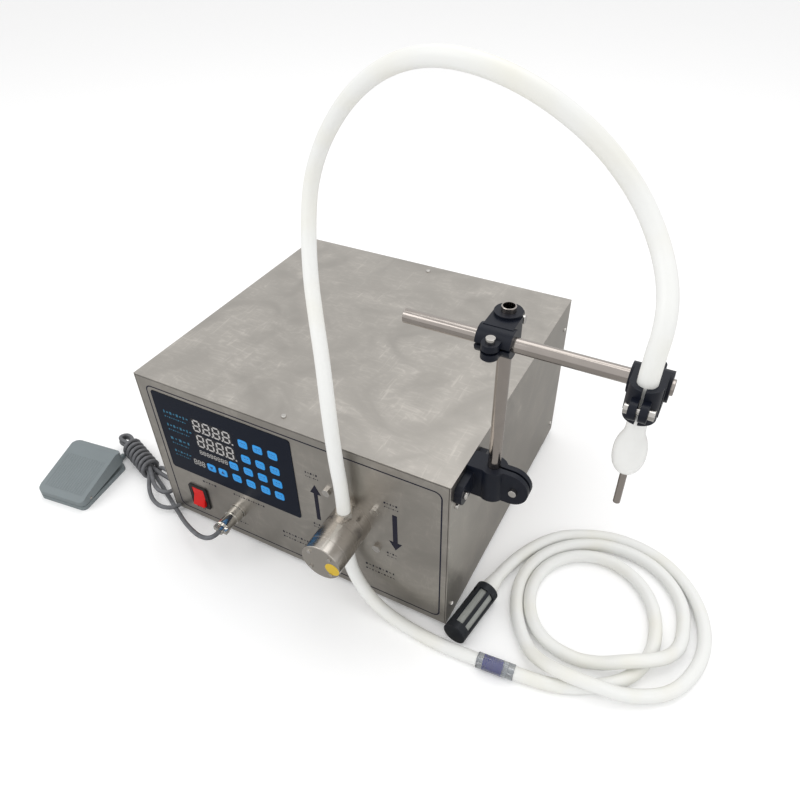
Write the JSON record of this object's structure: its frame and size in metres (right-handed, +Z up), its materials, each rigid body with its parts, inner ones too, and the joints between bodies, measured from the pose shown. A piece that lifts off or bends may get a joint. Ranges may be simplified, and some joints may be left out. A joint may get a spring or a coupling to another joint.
{
  "type": "magnetic drive liquid filler",
  "caption": "Bench-top gear-pump liquid filler: steel cabinet with control panel and magnetic pump, jointed stand with drip-free nozzle, hoses, strainer and foot pedal.",
  "frame": {"origin": "on the bench, under the middle of the cabinet, stand and foot pedal taken together", "axes": "+X right as seen facing the control panel, -Y towards the person who faces it, +Z up"},
  "size_m": [0.7595, 0.392, 0.5211],
  "materials": {
    "stainless_sheet": "brushed stainless sheet with storage scuffs",
    "turned_steel": "turned stainless steel",
    "polished_tube": "polished stainless tube",
    "plated_screw": "plated steel screw",
    "plated_connector": "nickel plated connector",
    "gear_steel": "ground steel",
    "spring_wire": "drawn spring wire",
    "magnet_black": "black coated magnet",
    "cast_alloy": "cast and machined",
    "motor_paint": "satin black paint",
    "clamp_black": "moulded nylon, light sheen",
    "bezel_black": "moulded",
    "rocker_red": "moulded red",
    "panel_film": "dark blue film with light blue keys",
    "display_window": "unlit digits behind a tinted face",
    "board_green": "solder mask",
    "foot_rubber": "black rubber",
    "silicone_hose": "milky translucent silicone",
    "nozzle_white": "turned white acetal",
    "valve_clear": "clear moulding",
    "valve_blue": "blue moulding",
    "cage_black": "moulded cage",
    "mesh_pale": "woven filter mesh",
    "pedal_grey": "grey moulding",
    "switch_black": "moulded",
    "cable_grey": "grey vinyl sheath"
  },
  "bodies": {
    "cabinet": {"base_tray": "stainless_sheet", "top_cover": "stainless_sheet", "front_panel": "stainless_sheet", "rear_panel": "stainless_sheet", "rubber_feet": "foot_rubber", "cover_screws": "plated_screw", "control_overlay": "panel_film", "display_modules": "display_window", "control_board": "board_green", "rocker_bezel": "bezel_black", "pedal_socket": "plated_connector", "cable_plug": "plated_connector", "motor": "motor_paint", "motor_bracket": "cast_alloy", "isolation_can": "turned_steel", "pump_housing": "turned_steel", "gear_case": "turned_steel", "pump_cover": "turned_steel", "hex_screws": "plated_screw", "outlet_port": "turned_steel", "inlet_port": "turned_steel", "mains_inlet": "bezel_black", "power_supply": "cast_alloy", "base_clamp": "clamp_black", "base_clamp_screws": "plated_screw", "outlet_hose_1": "silicone_hose", "intake_hose_1": "silicone_hose", "intake_hose_2": "silicone_hose", "intake_hose_3": "silicone_hose", "intake_coil": "silicone_hose", "check_valve_body": "valve_clear", "check_valve_core": "valve_blue", "strainer_cage": "cage_black", "strainer_mesh": "mesh_pale", "pedal_base": "pedal_grey", "pedal_pin": "plated_screw", "pedal_switch": "switch_black", "pedal_spring": "spring_wire", "pedal_cable": "cable_grey", "cable_hank": "cable_grey"},
    "rocker": {"power_rocker": "rocker_red"},
    "treadle": {"pedal_treadle": "pedal_grey"},
    "motor_rotor": {"drive_magnet": "magnet_black"},
    "pump_rotor": {"driven_magnet": "magnet_black", "drive_gear": "gear_steel"},
    "idler": {"idler_gear": "gear_steel"},
    "upright": {"upright_tube": "polished_tube"},
    "cross_head": {"cross_clamp": "clamp_black", "cross_clamp_screws": "plated_screw", "outlet_hose_2": "silicone_hose"},
    "arm": {"arm_tube": "polished_tube"},
    "nozzle_head": {"nozzle_clamp": "clamp_black", "nozzle_clamp_screws": "plated_screw", "outlet_hose_3": "silicone_hose"},
    "nozzle": {"nozzle_body": "nozzle_white", "nozzle_tip": "polished_tube", "outlet_hose_4": "silicone_hose", "nozzle_spring": "spring_wire"},
    "poppet": {"nozzle_poppet": "nozzle_white"},
    "check_ball": {"check_valve_ball": "gear_steel"}
  },
  "joints": [
    {"name": "rocker_tilt", "type": "hinge", "parent": "cabinet", "child": "rocker", "pos_m": [-0.115, -0.1325, 0.043], "axis": [1, 0, 0], "range_deg": [0, 20]},
    {"name": "treadle_press", "type": "hinge", "parent": "cabinet", "child": "treadle", "pos_m": [-0.28965, -0.17871, 0.0095], "axis": [-0.9925, -0.1219, 0], "range_deg": [0, 4.5], "stiffness_Nm_per_rad": 1, "springref_deg": -11.46, "deforming": ["pedal_spring"]},
    {"name": "motor_spin", "type": "hinge", "parent": "cabinet", "child": "motor_rotor", "pos_m": [0.089, -0.1335, 0.1105], "axis": [0, 1, 0], "continuous": true},
    {"name": "rotor_spin", "type": "hinge", "parent": "cabinet", "child": "pump_rotor", "pos_m": [0.089, -0.1335, 0.1105], "axis": [0, 1, 0], "continuous": true},
    {"name": "idler_spin", "type": "hinge", "parent": "cabinet", "child": "idler", "pos_m": [0.0986, -0.1335, 0.1105], "axis": [0, 1, 0], "continuous": true},
    {"name": "upright_slide", "type": "slide", "parent": "cabinet", "child": "upright", "axis": [0, 0, 1], "range_m": [-0.1, 0.01], "deforming": ["outlet_hose_1", "outlet_hose_2", "outlet_hose_3", "outlet_hose_4"]},
    {"name": "arm_swing", "type": "hinge", "parent": "upright", "child": "cross_head", "pos_m": [0.21, -0.0925, 0.341], "axis": [0, 0, 1], "range_deg": [-75, 75], "deforming": ["outlet_hose_1", "outlet_hose_2", "outlet_hose_3", "outlet_hose_4"]},
    {"name": "arm_slide", "type": "slide", "parent": "cross_head", "child": "arm", "axis": [1, 0, 0], "range_m": [-0.05, 0.05], "deforming": ["outlet_hose_1", "outlet_hose_2", "outlet_hose_3", "outlet_hose_4"]},
    {"name": "nozzle_tilt", "type": "hinge", "parent": "arm", "child": "nozzle_head", "pos_m": [0.315, -0.1125, 0.341], "axis": [1, 0, 0], "range_deg": [-20, 20], "deforming": ["outlet_hose_1", "outlet_hose_2", "outlet_hose_3", "outlet_hose_4"]},
    {"name": "nozzle_slide", "type": "slide", "parent": "nozzle_head", "child": "nozzle", "axis": [0, 0, 1], "range_m": [-0.015, 0.008], "deforming": ["outlet_hose_1", "outlet_hose_2", "outlet_hose_3", "outlet_hose_4"]},
    {"name": "poppet_lift", "type": "slide", "parent": "nozzle", "child": "poppet", "axis": [0, 0, -1], "range_m": [0, 0.002], "stiffness_N_per_m": 20, "springref_m": -0.002, "deforming": ["nozzle_spring"]},
    {"name": "check_ball_slide", "type": "slide", "parent": "cabinet", "child": "check_ball", "axis": [-0.9963, -0.0859, 0], "range_m": [0, 0.003]}
  ],
  "couplings": [
    {"joint": "rotor_spin", "follows": "motor_spin", "ratio": 1},
    {"joint": "idler_spin", "follows": "motor_spin", "ratio": -1}
  ]
}
